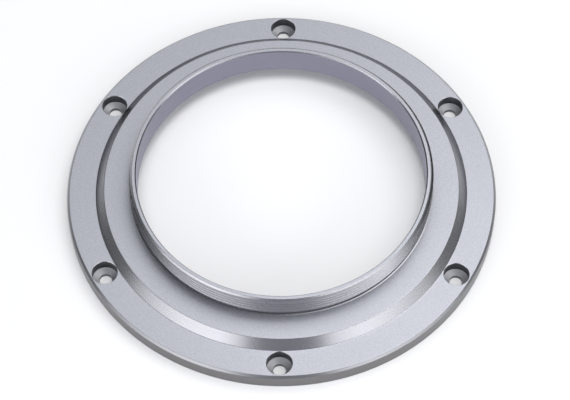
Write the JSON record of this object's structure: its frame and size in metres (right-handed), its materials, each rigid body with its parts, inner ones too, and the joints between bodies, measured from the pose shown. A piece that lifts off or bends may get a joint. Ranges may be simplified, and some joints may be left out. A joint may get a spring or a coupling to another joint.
{
  "type": "lens mount ring",
  "caption": "Turned aluminium lens mount ring: flat flange with counterbored screw holes, a conical step to a plateau, and a short threaded collar round a clear bore.",
  "frame": {"origin": "centre of the flange's underside, on the optical axis", "axes": "+Z along the optical axis, from the flange towards the collar; +Y towards one of the screw holes"},
  "size_m": [0.074, 0.074, 0.0089],
  "materials": {
    "satin_aluminium": "bead-blasted and clear anodised, satin"
  },
  "bodies": {
    "root": {"lens_mount_ring": "satin_aluminium"}
  },
  "joints": []
}
